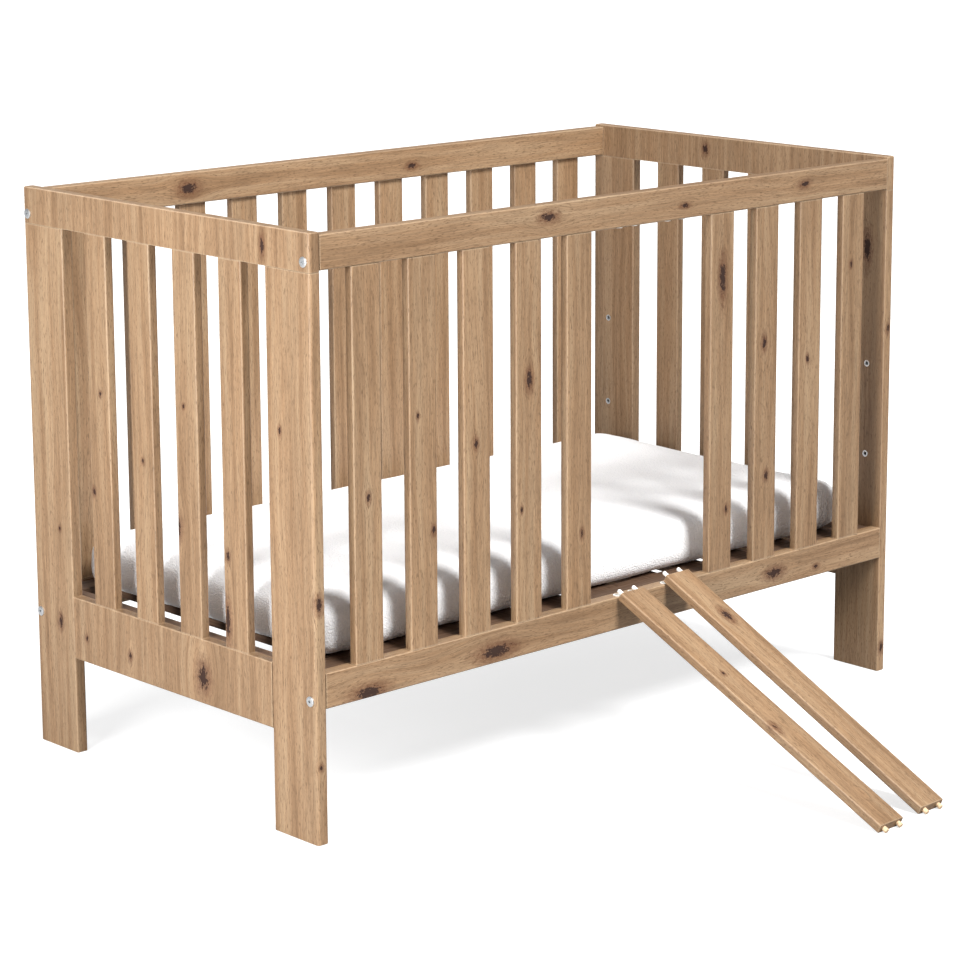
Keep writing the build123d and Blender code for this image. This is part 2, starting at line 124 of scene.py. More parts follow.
def new_group(name: str, kind: str, inputs: dict[str, str], outputs: dict[str, str]) -> bpy.types.NodeTree:
    """Makes an empty node group with named sockets.

    Args:
        name: the group's name.
        kind: the type of the tree.
        inputs: socket name to the kind of value it holds.
        outputs: the same for the outputs.

    Returns:
        The group, with no nodes yet.
    """
    group = bpy.data.node_groups.new(name, kind)
    for side, sockets in (("INPUT", inputs), ("OUTPUT", outputs)):
        for socket_name, value_kind in sockets.items():
            group.interface.new_socket(socket_name, in_out=side, socket_type=f"NodeSocket{value_kind}")
    return group


def new_material(name: str) -> tuple[bpy.types.Material, bpy.types.NodeTree]:
    """Makes a material, and gives it with its node tree, which has no nodes yet."""
    made = bpy.data.materials.new(name)
    made.use_nodes = True
    made.node_tree.nodes.clear()
    return made, made.node_tree


def new_object(name: str, data: bpy.types.ID) -> bpy.types.Object:
    """Makes an object of some data and puts it in the scene."""
    made = bpy.data.objects.new(name, data)
    bpy.context.scene.collection.objects.link(made)
    return made


def make_plain(piece: bpy.types.Object) -> None:
    """Turns a piece's modifiers into its plain mesh."""
    graph = bpy.context.evaluated_depsgraph_get()
    graph.update()
    data = bpy.data.meshes.new_from_object(piece.evaluated_get(graph))
    piece.modifiers.clear()
    piece.data = data


def dress(node: bpy.types.Object, material: bpy.types.Material) -> None:
    """Gives a piece its one material."""
    if not node.material_slots:
        node.data.materials.append(material)
    for slot in node.material_slots:
        slot.material = material


def press_joint(frame: dict[str, Any], slat: str, hand: str) -> dict[str, Any]:
    """Finds the joint of one of a removable slat's two spring pins."""
    return next(j for j in frame["joints"] if j["name"] == f"{slat}_{hand}_spring_pin_press")


def direction(azimuth: float, elevation: float) -> Vector:
    """Finds the way from the cot to a place round it.

    Args:
        azimuth: where the place is round the cot, in degrees; 0 is the front and 90 the right.
        elevation: its height above the floor, in degrees.
    """
    a, e = math.radians(azimuth), math.radians(elevation)
    return Vector((math.sin(a) * math.cos(e), -math.cos(a) * math.cos(e), math.sin(e)))


class Grain(Enum):
    """Which way a board's grain runs; the value turns that way upright, in degrees."""

    UPRIGHT = (0.0, 0.0, 0.0)
    LENGTHWISE = (0.0, -90.0, 0.0)


@dataclass(frozen=True)
class Knot:
    """A knot or split in the grain, placed by shares of its board's box.

    Attributes:
        at: shares of the box in X, Y and Z, from 0 to 1.
        across: half width across the grain, in millimetres.
        along: half length along the grain, in millimetres.
    """

    at: tuple[float, float, float]
    across: float
    along: float


KNOTS: dict[str, list[Knot]] = {
    "left_end_bottom_rail": [
        Knot((0.0, 0.33, 0.42), 14.2, 22.7),
        Knot((0.0, 0.70, 0.36), 4.2, 7.1),
        Knot((0.0, 0.93, 0.40), 2.9, 5.8),
    ],
    "left_end_top_rail": [Knot((0.0, 0.15, 0.5), 4.2, 13.6)],
    "left_end_slat_1": [Knot((0.0, 0.86, 0.07), 6.7, 29.2), Knot((0.0, 0.8, 0.24), 4.2, 8.4)],
    "left_end_slat_2": [Knot((0.0, 1.0, 0.28), 9.2, 17.5), Knot((0.0, 0.6, 0.6), 2.9, 4.5)],
    "left_end_slat_3": [Knot((0.0, 0.5, 0.43), 3.5, 5.1)],
    "left_end_slat_4": [Knot((0.0, 0.4, 0.58), 3.1, 4.8), Knot((0.0, 0.85, 0.31), 4.2, 7.1)],
    "left_front_leg": [
        Knot((0.4, 0.0, 0.43), 6.7, 12.3),
        Knot((0.0, 0.72, 0.72), 3.5, 5.8),
        Knot((0.4, 0.0, 0.14), 3.6, 5.8),
    ],
    "left_rear_leg": [Knot((0.0, 0.35, 0.25), 5.4, 12.3), Knot((0.0, 0.3, 0.43), 2.9, 4.5)],
    "front_top_rail": [
        Knot((0.36, 0.0, 0.62), 7.9, 17.5),
        Knot((0.60, 0.0, 0.40), 4.2, 9.7),
        Knot((0.83, 0.0, 0.55), 5.4, 12.3),
    ],
    "front_bottom_rail": [
        Knot((0.27, 0.0, 0.35), 11.7, 34.4),
        Knot((0.065, 0.0, 0.15), 10.4, 29.2),
        Knot((0.78, 0.0, 0.45), 9.2, 21.4),
        Knot((0.865, 0.0, 0.30), 4.2, 7.1),
    ],
    "front_slat_1": [Knot((0.5, 0.0, 0.42), 4.2, 8.4)],
    "front_slat_2": [Knot((0.85, 0.0, 0.30), 4.2, 7.1), Knot((0.3, 0.0, 0.60), 2.9, 5.8)],
    "front_slat_3": [Knot((0.45, 0.0, 0.50), 4.2, 8.4)],
    "front_slat_4": [Knot((0.5, 0.0, 0.64), 6.7, 16.2), Knot((0.2, 0.0, 0.30), 2.9, 5.8)],
    "front_slat_5": [Knot((0.6, 0.0, 0.20), 3.5, 7.1)],
    "front_slat_8": [Knot((0.5, 0.0, 0.82), 7.9, 31.8), Knot((0.75, 0.0, 0.17), 4.2, 7.1)],
    "front_slat_9": [Knot((0.55, 0.0, 0.24), 5.4, 8.4), Knot((0.4, 0.0, 0.62), 5.4, 12.3)],
    "front_slat_10": [Knot((0.4, 0.0, 0.55), 4.2, 7.1)],
    "front_slat_11": [Knot((0.4, 0.0, 0.80), 3.5, 5.8)],
    "rear_top_rail": [Knot((0.23, 0.0, 0.5), 10.4, 18.8), Knot((0.62, 0.0, 0.4), 5.4, 12.3)],
    "rear_slat_10": [Knot((0.5, 0.0, 0.7), 6.7, 16.2)],
    "right_end_top_rail": [Knot((0.0, 0.6, 0.6), 6.7, 11.0)],
    "right_front_leg": [
        Knot((0.0, 0.4, 0.88), 7.9, 26.6),
        Knot((0.0, 0.6, 0.55), 5.4, 16.2),
        Knot((0.5, 0.0, 0.05), 5.4, 9.7),
        Knot((0.5, 0.0, 0.72), 4.2, 8.4),
    ],
    "right_end_slat_3": [Knot((0.0, 0.5, 0.6), 6.7, 12.3)],
    "removable_slat_6": [
        Knot((0.40, 0.62, 0.64), 3.5, 5.8),
        Knot((0.22, 0.40, 0.42), 5.4, 12.3),
        Knot((0.62, 0.12, 0.14), 3.5, 7.1),
    ],
    "removable_slat_7": [
        Knot((0.50, 0.79, 0.81), 7.9, 16.2),
        Knot((0.40, 0.52, 0.53), 2.9, 5.8),
        Knot((0.98, 0.50, 0.51), 5.4, 11.0),
    ],
}


@dataclass(frozen=True)
class OakFoil:
    """Knotty oak decor printed on melamine foil over board: satin, its grain seen more than felt.

    Sizes are width and length in millimetres. Nearness to a knot runs from 0 to 1 at its middle.

    Attributes:
        bands: growth noise at which the dark, the middle and the light colour stand.
        tone, thread: how far the broad bands and the fibres darken and lighten the wood.
        roughness: where the fibres are low and high.
        bend: how far the grain bends sideways, in millimetres.
        pored: pore noise at which a pore begins and is full.
        edge_highlight_mm: distances from an edge over which the painted highlight along it sets in.
        bow_far, bow: distances from a knot, in knot sizes, and how far the grain is drawn in there.
        knot_reach: where a knot ends, in knot sizes.
        ragged: how far a knot's outline strays.
        haloed, hearted: nearness at which the halo and the heart begin and are full.
        ring_turns, ringed, rings: how close a knot's rings lie, and the halo's strength over their waves.
        relief: the bump's strength and depth, in metres.
        shuffle: for X, Y and Z, the shift from board to board and where it starts over, in millimetres.
    """

    dark: str = "775a3e"
    middle: str = "907254"
    light: str = "9f8466"
    pore: str = "51371f"
    heart: str = "2e170b"
    halo: str = "5a331b"
    # painted highlight: the pale colour laid along every board edge, for light caught on its rounding
    edge_highlight: str = "bda78c"
    bands: tuple[float, float, float] = (0.24, 0.46, 0.70)
    tone: tuple[float, float] = (0.92, 1.08)
    thread: tuple[float, float] = (0.74, 1.19)
    roughness: tuple[float, float] = (0.56, 0.42)
    heart_dulls: float = 0.4
    growth_size: tuple[float, float] = (15.0, 460.0)
    broad_size: tuple[float, float] = (55.0, 900.0)
    bend_size: tuple[float, float] = (90.0, 420.0)
    bend: float = 14.0
    fibre_size: tuple[float, float] = (1.5, 55.0)  # real fibres are a tenth as wide; coarse enough to show
    pore_size: tuple[float, float] = (1.0, 9.0)  # real pores are 0.3 mm wide; coarse enough to show
    pored: tuple[float, float] = (0.58, 0.68)
    pore_share: float = 0.60
    edge_highlight_mm: tuple[float, float] = (1.95, 0.65)
    # painted highlight: how far the edges are lightened towards the pale colour
    edge_highlight_share: float = 0.34
    bow_far: tuple[float, float] = (0.4, 4.2)
    bow: tuple[float, float] = (0.22, 1.0)
    knot_reach: float = 2.2
    ragged_size: tuple[float, float] = (3.2, 7.0)
    ragged: float = 0.2
    haloed: tuple[float, float] = (0.12, 0.70)
    halo_share: float = 0.88
    hearted: tuple[float, float] = (0.66, 0.73)
    heart_share: float = 0.98
    ring_turns: float = 44.0
    ringed: tuple[float, float] = (0.3, 1.0)
    rings: tuple[float, float] = (0.7, 1.35)
    relief: tuple[float, float] = (0.18, 0.0004)
    shuffle: tuple[tuple[float, float], ...] = ((137.0, 1901.0), (71.0, 1307.0), (613.0, 4001.0))

    def edge_highlight_group(self) -> bpy.types.NodeTree:
        """Makes the group that finds a board's long edges, where a pale line is painted as a highlight for
        light caught on their rounding.

        Returns:
            A shader group: position, the board's middle and its half size in; how near an edge is out.
        """
        inputs = {"Position": "Vector", "Middle": "Vector", "Half": "Vector"}
        group = new_group("oak_edge_highlight", "ShaderNodeTree", inputs, {"Edge": "Float"})
        into = add(group, "NodeGroupInput").outputs
        away = add(group, VECTOR, (into["Position"], into["Middle"]), operation="SUBTRACT")
        spread = add(group, VECTOR, (away,), operation="ABSOLUTE")
        past = add(group, VECTOR, (spread, into["Half"]), operation="SUBTRACT")
        x, y, z = add(group, "ShaderNodeSeparateXYZ", (past,)).outputs
        low = add(group, MATH, (x, y), operation="MINIMUM")
        high = add(group, MATH, (x, y), operation="MAXIMUM")
        inner = add(group, MATH, (high, z), operation="MINIMUM")
        second = add(group, MATH, (low, inner), operation="MAXIMUM")
        limits = (-self.edge_highlight_mm[0], -self.edge_highlight_mm[1], 0.0, 1.0)
        edge = add(group, RANGE, (second, *limits), interpolation_type="SMOOTHSTEP")
        add(group, "NodeGroupOutput", (edge,))
        return group

    def knot_group(self) -> bpy.types.NodeTree:
        """Makes the group that bows the grain round one knot and measures how near it is.

        Returns:
            A shader group: position and knot in, bowed position and nearness out.
        """
        inputs = {"Position": "Vector", "Near": "Float", "Centre": "Vector", "Size": "Vector"}
        group = new_group("oak_knot", "ShaderNodeTree", inputs, {"Position": "Vector", "Near": "Float"})
        into = add(group, "NodeGroupInput").outputs
        away = add(group, VECTOR, (into["Position"], into["Centre"]), operation="SUBTRACT")
        sized = add(group, VECTOR, (away, into["Size"]), operation="DIVIDE")
        far = add(group, VECTOR, (sized,), operation="LENGTH").outputs["Value"]
        limits = (*self.bow_far, *self.bow)
        bow = add(group, RANGE, (far, *limits), interpolation_type="SMOOTHSTEP")
        share = add(group, "ShaderNodeCombineXYZ", (bow, bow, 1.0))
        bowed = add(group, VECTOR, (away, share), operation="MULTIPLY")
        back = add(group, VECTOR, (bowed, into["Centre"]), operation="ADD")
        near = add(group, RANGE, (far, self.knot_reach, 0.0, 0.0, 1.0))
        nearest = add(group, MATH, (near, into["Near"]), operation="MAXIMUM")
        add(group, "NodeGroupOutput", (back, nearest))
        return group

    def figure_group(self) -> bpy.types.NodeTree:
        """Makes the group that draws the oak's growth bands, fibres, pores and knot hearts, and the painted
        highlight along the edges.

        Returns:
            A shader group: bowed position, nearness to a knot, straight position and nearness to an edge
            in; colour, roughness and height out.
        """
        inputs = {"Position": "Vector", "Near": "Float", "Straight": "Vector", "Edge": "Float"}
        outputs = {"Color": "Color", "Roughness": "Float", "Height": "Float"}
        group = new_group("oak_figure", "ShaderNodeTree", inputs, outputs)
        into = add(group, "NodeGroupInput").outputs

        def stretched(size: tuple[float, float], source: Any, **more: float) -> bpy.types.Node:
            """A noise whose spots have a width and length in millimetres."""
            width, length = size
            shrink = (1 / width, 1 / width, 1 / length)
            scaled = add(group, VECTOR, (source, shrink), operation="MULTIPLY")
            return add(group, "ShaderNodeTexNoise", {"Vector": scaled, "Scale": 1.0, **more})

        swing = stretched(self.bend_size, into["Position"], Detail=1.0).outputs["Color"]
        swing = add(group, VECTOR, (swing, (0.5, 0.5, 0.5)), operation="SUBTRACT")
        sideways = (self.bend * 2, self.bend * 2, 0.0)
        swing = add(group, VECTOR, (swing, sideways), operation="MULTIPLY")
        place = add(group, VECTOR, (into["Position"], swing), operation="ADD")
        growth = stretched(self.growth_size, place, Detail=3.0, Roughness=0.6)
        broad = stretched(self.broad_size, place, Detail=1.0)
        fibre = stretched(self.fibre_size, place, Detail=3.0, Roughness=0.65)
        pores = stretched(self.pore_size, place, Detail=1.0)
        wood = add(group, "ShaderNodeValToRGB", (growth,))
        stops = wood.color_ramp.elements
        stops[0].position, stops[0].color = self.bands[0], linear(self.dark)
        stops[1].position, stops[1].color = self.bands[2], linear(self.light)
        stops.new(self.bands[1]).color = linear(self.middle)
        tone = add(group, RANGE, (broad, *SPREAD, *self.tone))
        thread = add(group, RANGE, (fibre, *SPREAD, *self.thread))
        shade = add(group, MATH, (tone, thread), operation="MULTIPLY")
        shaded = add(group, VECTOR, {0: wood, "Scale": shade}, operation="SCALE")
        # painted highlight: the edges are lightened towards the pale colour, for light caught on their
        # rounding
        pale = add(group, MATH, (into["Edge"], self.edge_highlight_share), operation="MULTIPLY")
        pit = add(group, RANGE, (pores, *self.pored, 0.0, self.pore_share))
        stray = stretched(self.ragged_size, into["Straight"], Detail=3.0, Roughness=0.7)
        stray = add(group, RANGE, (stray, *SPREAD, -self.ragged, self.ragged))
        near = add(group, MATH, (into["Near"], stray), operation="ADD")
        soft = add(group, RANGE, (near, *self.haloed, 0.0, self.halo_share))
        turns = add(group, MATH, (near, self.ring_turns), operation="MULTIPLY")
        waves = add(group, MATH, (turns,), operation="SINE")
        lines = add(group, RANGE, (waves, *self.ringed, *self.rings))
        ring = add(group, MATH, (soft, lines), operation="MULTIPLY")
        core = add(group, RANGE, (near, *self.hearted, 0.0, self.heart_share))
        colour = shaded.outputs[0]
        for share, over in ((pale, self.edge_highlight), (pit, self.pore), (ring, self.halo), (core, self.heart)):
            laid = add(group, "ShaderNodeMix", {0: share, 6: colour, 7: linear(over)}, data_type="RGBA")
            colour = laid.outputs[2]
        rough = add(group, RANGE, (fibre, *SPREAD, *self.roughness))
        dull = add(group, MATH, (core, self.heart_dulls), operation="MULTIPLY")
        matt = add(group, MATH, (rough, dull), operation="ADD")
        height = add(group, MATH, (fibre, pit), operation="SUBTRACT")
        sunk = add(group, MATH, (height, core), operation="SUBTRACT")
        add(group, "NodeGroupOutput", (colour, matt, sunk))
        return group

    def material(
        self, board: bpy.types.Object, turn: Euler, index: int, knots: list[tuple[Vector, Knot]]
    ) -> bpy.types.Material:
        """Makes one board's own oak, so that no two boards show the same piece of the figure.

        Args:
            board: the board's CAD node.
            turn: the turn that brings the board's grain upright.
            index: the board's number, which picks its place in the figure.
            knots: where each knot is, in metres, and the knot.

        Returns:
            The material.
        """
        groups = bpy.data.node_groups
        shift = Vector((index * step) % span for step, span in self.shuffle)
        turned = [turn.to_matrix() @ (v.co * MM_PER_M) + shift for v in board.data.vertices]
        low = Vector(min(v[i] for v in turned) for i in range(3))
        high = Vector(max(v[i] for v in turned) for i in range(3))
        made, tree = new_material(f"oak_foil_{board.name}")
        where = add(tree, "ShaderNodeTexCoord").outputs["Object"]
        placing = {"Vector": where, "Location": shift, "Rotation": turn, "Scale": (MM_PER_M,) * 3}
        straight = add(tree, "ShaderNodeMapping", placing).outputs[0]
        position, near = straight, 0.0
        for point, knot in knots:
            centre = turn.to_matrix() @ (point * MM_PER_M) + shift
            given = (position, near, centre, (knot.across, knot.across, knot.along))
            bow = groups.get("oak_knot") or self.knot_group()
            warp = add(tree, "ShaderNodeGroup", given, node_tree=bow)
            position, near = warp.outputs
        # painted highlight: finds the board's edges, which are painted pale
        sizes = (straight, (low + high) / 2, (high - low) / 2)
        edge_highlight = add(tree, "ShaderNodeGroup", sizes, node_tree=groups.get("oak_edge_highlight") or self.edge_highlight_group())
        given = (position, near, straight, edge_highlight)
        draw = groups.get("oak_figure") or self.figure_group()
        figure = add(tree, "ShaderNodeGroup", given, node_tree=draw).outputs
        strength, depth = self.relief
        relief = {"Height": figure["Height"], "Strength": strength, "Distance": depth}
        values = {
            "Base Color": figure["Color"],
            "Roughness": figure["Roughness"],
            "Normal": add(tree, "ShaderNodeBump", relief),
            "IOR": 1.5,
        }
        shader = add(tree, "ShaderNodeBsdfPrincipled", values)
        add(tree, "ShaderNodeOutputMaterial", {"Surface": shader})
        return made


@dataclass(frozen=True)
class PlainFinish:
    """A finish of one colour with a fine speckle in its tone, gloss and height.

    Attributes:
        name: what the material is and how its surface was made.
        colour: the main colour.
        second: the colour that the speckle turns to.
        roughness: the mean roughness.
        metallic: 1 for a bare metal.
        ior: the index of refraction of a plastic, lacquer or wood.
        grit_mm: the speckle's size across, in millimetres.
        stretch: how many times longer a speckle is along X, Y and Z.
        bump: how strongly the speckle stands out.
        stops: the noise at which the second colour ends and the main one begins.
        gloss: shares of the roughness where the speckle is low and high.
    """

    name: str
    colour: str
    second: str
    roughness: float
    metallic: float = 0.0
    ior: float = 1.5
    grit_mm: float = 1.5
    stretch: tuple[float, float, float] = (1.0, 1.0, 1.0)
    bump: float = 0.1
    stops: tuple[float, float] = (0.32, 0.64)
    gloss: tuple[float, float] = (1.2, 0.85)

    def material(self) -> bpy.types.Material:
        """Makes the material."""
        made, tree = new_material(self.name)
        where = add(tree, "ShaderNodeTexCoord").outputs["Object"]
        scale = tuple(MM_PER_M / (self.grit_mm * s) for s in self.stretch)
        mapping = add(tree, "ShaderNodeMapping", {"Vector": where, "Scale": scale})
        speckle = add(tree, "ShaderNodeTexNoise", {"Vector": mapping, "Scale": 1.0, "Detail": 3.0})
        tint = add(tree, "ShaderNodeValToRGB", (speckle,))
        for stop, at, colour in zip(tint.color_ramp.elements, self.stops, (self.second, self.colour)):
            stop.position, stop.color = at, linear(colour)
        gloss = (self.roughness * share for share in self.gloss)
        rough = add(tree, RANGE, (speckle, *SPREAD, *gloss))
        bump = add(tree, "ShaderNodeBump", {"Height": speckle, "Strength": self.bump, "Distance": 0.0003})
        values = {"Base Color": tint, "Roughness": rough, "Normal": bump, "Metallic": self.metallic}
        if not self.metallic:
            values["IOR"] = self.ior
        shader = add(tree, "ShaderNodeBsdfPrincipled", values)
        add(tree, "ShaderNodeOutputMaterial", {"Surface": shader})
        return made


@dataclass(frozen=True)
class TerryCloth:
    """White looped cotton terry, knitted and washed: matt, soft-edged, with loops that catch no gloss.

    Attributes:
        colour, between: the loops' colour, and the cool grey painted into the gaps between them as painted
            shade.
        gaps, gap_share: the spread over which a gap's painted shade sets in, and how strong it gets.
        relief: the bump's strength and depth, in metres.
    """

    colour: str = "ffffff"
    # painted shade: the cool grey of the gaps between loops
    between: str = "f3f4f8"
    loop_mm: float = 2.6  # real loops are about 1.5 mm; drawn coarse enough to show
    nap_scale: float = 0.12  # how close the nap lies, against the loops
    gaps: tuple[float, float] = (0.2, 0.9)
    gap_share: float = 0.75
    rough: float = 0.95
    relief: tuple[float, float] = (0.8, 0.0012)

    def material(self) -> bpy.types.Material:
        """Makes the material."""
        made, tree = new_material("white_cotton_terry")
        where = add(tree, "ShaderNodeTexCoord").outputs["Object"]
        scale = (MM_PER_M / self.loop_mm,) * 3
        mapping = add(tree, "ShaderNodeMapping", {"Vector": where, "Scale": scale})
        loops = add(tree, "ShaderNodeTexVoronoi", {"Vector": mapping, "Scale": 1.0, "Randomness": 1.0})
        loops = loops.outputs["Distance"]
        nap = add(tree, "ShaderNodeTexNoise", {"Vector": mapping, "Scale": self.nap_scale, "Detail": 4.0})
        # painted shade: the gaps between loops are darkened to a cool grey, for the shade that falls in them
        gap = add(tree, RANGE, (loops, *self.gaps, 0.0, self.gap_share))
        colours = {0: gap, 6: linear(self.colour), 7: linear(self.between)}
        mixed = add(tree, "ShaderNodeMix", colours, data_type="RGBA").outputs[2]
        height = add(tree, MATH, (nap, loops), operation="SUBTRACT")
        strength, depth = self.relief
        relief = {"Height": height, "Strength": strength, "Distance": depth}
        values = {
            "Base Color": mixed,
            "Roughness": self.rough,
            "Normal": add(tree, "ShaderNodeBump", relief),
            "IOR": 1.45,
            "Sheen Weight": 0.6,
            "Sheen Roughness": 0.5,
            "Specular IOR Level": 0.2,
        }
        shader = add(tree, "ShaderNodeBsdfPrincipled", values)
        add(tree, "ShaderNodeOutputMaterial", {"Surface": shader})
        return made


@dataclass
class Woodwork:
    """The oak boards, rails and slats: each keeps its CAD shape and gets its own stretch of the figure."""

    foil: OakFoil = field(default_factory=OakFoil)

    def turn_of(self, name: str, frame: dict[str, Any]) -> Euler:
        """Finds the turn that brings a board's grain upright.

        Args:
            name: the board's CAD node.
            frame: the loaded frame.

        Returns:
            The turn; a leaning slat's follows the way its spring pins slide.
        """
        if name.startswith("removable_slat"):
            up = -Vector(press_joint(frame, name, "left")["axis"])
            return up.rotation_difference(Vector((0, 0, 1))).to_euler("XYZ")
        lengthwise = name.startswith(("front", "rear")) and name.endswith("rail")
        grain = Grain.LENGTHWISE if lengthwise else Grain.UPRIGHT
        return Euler([math.radians(a) for a in grain.value], "XYZ")

    def dress(self, frame: dict[str, Any]) -> None:
        """Gives every oak board its own material."""
        parts = frame["record"]["subparts"]
        oak = sorted(part["node"] for part in parts if part["material_slot"] == "oak_board")
        for index, name in enumerate(oak, 1):
            low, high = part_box(name)
            places = [
                (Vector(a + (b - a) * share for a, b, share in zip(low, high, knot.at)), knot)
                for knot in KNOTS.get(name, [])
            ]
            board = frame["nodes"][name]
            dress(board, self.foil.material(board, self.turn_of(name, frame), index, places))
        LOG.info("dressed %d oak boards", len(oak))


@dataclass(frozen=True)
class CapBolts:
    """Low domed cap bolts with hex sockets, set out at the corners of a box by Geometry Nodes.

    Attributes:
        node: the CAD node that the bolts stand for.
        length, head_radius, head: the shank's length, and the head's radius and height, in metres.
        facing: 1 where the heads face away from the cot's middle, -1 where they face it.
        rows: how many rows of bolts there are, one above the other.
        shank: the shank's radius.
        socket_radius, socket_depth: the hex socket's radius over its corners, and its depth.
        crown: how far the head's rim drops below its middle.
        crown_power: how suddenly it drops towards the rim.
        seed: picks the angle that each bolt is turned to.
        overlap: how far the shank reaches into the head, and the socket's cutter past it.
        sides, rings: the faces round the head and across its flats.
        shank_sides: the faces round the shank.
    """

    node: str
    length: float
    head_radius: float
    head: float
    facing: float = 1.0
    rows: int = 2
    shank: float = 0.003
    socket_radius: float = 0.0023
    socket_depth: float = 0.0050
    crown: float = 0.0008
    crown_power: float = 5.0
    seed: int = 11
    overlap: tuple[float, float] = (0.0002, 0.001)
    sides: int = 40
    rings: int = 7
    shank_sides: int = 24

    def tree(self) -> bpy.types.NodeTree:
        """Makes the node tree: one bolt, placed on a grid, each turned to its own angle."""
        sizes = ("Half X", "Half Y", "Low Z", "High Z", "Facing", "Length", "Shank Radius", "Head Radius")
        sizes += ("Head Height", "Crown", "Socket Radius", "Socket Depth")
        inputs = {**dict.fromkeys(sizes, "Float"), "Rows": "Int", "Seed": "Int", "Material": "Material"}
        group = new_group("cap_bolts", "GeometryNodeTree", inputs, {"Geometry": "Geometry"})
        given = add(group, "NodeGroupInput").outputs

        def rod(radius: Any, low: Any, high: Any, sides: int, rings: int) -> bpy.types.Node:
            """A closed rod from low to high; one ring leaves each end a single face."""
            depth = add(group, MATH, (high, low), operation="SUBTRACT")
            size = {"Vertices": sides, "Fill Segments": rings, "Radius": radius, "Depth": depth}
            fill = "NGON" if rings == 1 else "TRIANGLE_FAN"
            made = add(group, "GeometryNodeMeshCylinder", size, fill_type=fill)
            ends = add(group, MATH, (high, low), operation="ADD")
            middle = add(group, MATH, (ends, 0.5), operation="MULTIPLY")
            move = add(group, "ShaderNodeCombineXYZ", (0.0, 0.0, middle))
            return add(group, "GeometryNodeTransform", {"Geometry": made, "Translation": move})

        into_head, past_head = self.overlap
        head = rod(given["Head Radius"], 0.0, given["Head Height"], self.sides, self.rings)
        x, y, z = add(group, "ShaderNodeSeparateXYZ", (add(group, "GeometryNodeInputPosition"),)).outputs
        flat = add(group, "ShaderNodeCombineXYZ", (x, y, 0.0))
        out = add(group, VECTOR, (flat,), operation="LENGTH").outputs["Value"]
        share = add(group, MATH, (out, given["Head Radius"]), operation="DIVIDE")
        steep = add(group, MATH, (share, self.crown_power), operation="POWER")
        drop = add(group, MATH, (steep, given["Crown"]), operation="MULTIPLY")
        near_top = add(group, MATH, (given["Head Height"], 0.9), operation="MULTIPLY")
        on_top = add(group, MATH, (z, near_top), operation="GREATER_THAN")
        fall = add(group, MATH, (drop, on_top), operation="MULTIPLY")
        down = add(group, MATH, (0.0, fall), operation="SUBTRACT")
        sunk = add(group, "ShaderNodeCombineXYZ", (0.0, 0.0, down))
        domed = add(group, "GeometryNodeSetPosition", {"Geometry": head, "Offset": sunk})
        floor = (given["Head Height"], given["Socket Depth"])
        floor = add(group, MATH, floor, operation="SUBTRACT")
        above = add(group, MATH, (given["Head Height"], past_head), operation="ADD")
        key = rod(given["Socket Radius"], floor, above, 6, 1)
        tip = add(group, MATH, (0.0, given["Length"]), operation="SUBTRACT")
        shank = rod(given["Shank Radius"], tip, into_head, self.shank_sides, 1)
        headed = add(group, "GeometryNodeMeshBoolean", {1: domed}, operation="UNION")
        group.links.new(shank.outputs[0], headed.inputs[1])
        whole = add(group, "GeometryNodeMeshBoolean", (headed, key), operation="DIFFERENCE")
        low = add(group, "ShaderNodeCombineXYZ", (0.0, 0.0, given["Low Z"]))
        high = add(group, "ShaderNodeCombineXYZ", (0.0, 0.0, given["High Z"]))
        ends = {"Count": given["Rows"], "Start Location": low, "Offset": high}
        places = add(group, "GeometryNodeMeshLine", ends, mode="END_POINTS")
        for reach in ((0.0, given["Half Y"], 0.0), (given["Half X"], 0.0, 0.0)):
            far = add(group, "ShaderNodeCombineXYZ", reach)
            near = add(group, VECTOR, {0: far, "Scale": -1.0}, operation="SCALE")
            ends = {"Count": 2, "Start Location": near, "Offset": far}
            line = add(group, "GeometryNodeMeshLine", ends, mode="END_POINTS")
            copied = add(group, "GeometryNodeInstanceOnPoints", {"Points": line, "Instance": places})
            places = add(group, "GeometryNodeRealizeInstances", (copied,))
        end = add(group, MATH, (x,), operation="SIGN")
        faced = add(group, MATH, (end, given["Facing"]), operation="MULTIPLY")
        lean = add(group, MATH, (faced, math.pi / 2), operation="MULTIPLY")
        lying = add(group, "ShaderNodeCombineXYZ", (0.0, lean, 0.0))
        setting = {"Points": places, "Instance": whole, "Rotation": lying}
        bolts = add(group, "GeometryNodeInstanceOnPoints", setting)
        angles = {"Min": (0.0, 0.0, 0.0), "Max": (0.0, 0.0, math.pi / 3), "Seed": given["Seed"]}
        roll = add(group, "FunctionNodeRandomValue", angles, data_type="FLOAT_VECTOR")
        turning = {"Instances": bolts, "Rotation": roll, "Local Space": True}
        rolled = add(group, "GeometryNodeRotateInstances", turning)
        solid = add(group, "GeometryNodeRealizeInstances", (rolled,))
        plated = add(group, "GeometryNodeSetMaterial", {"Geometry": solid, "Material": given["Material"]})
        add(group, "NodeGroupOutput", (plated,))
        return group

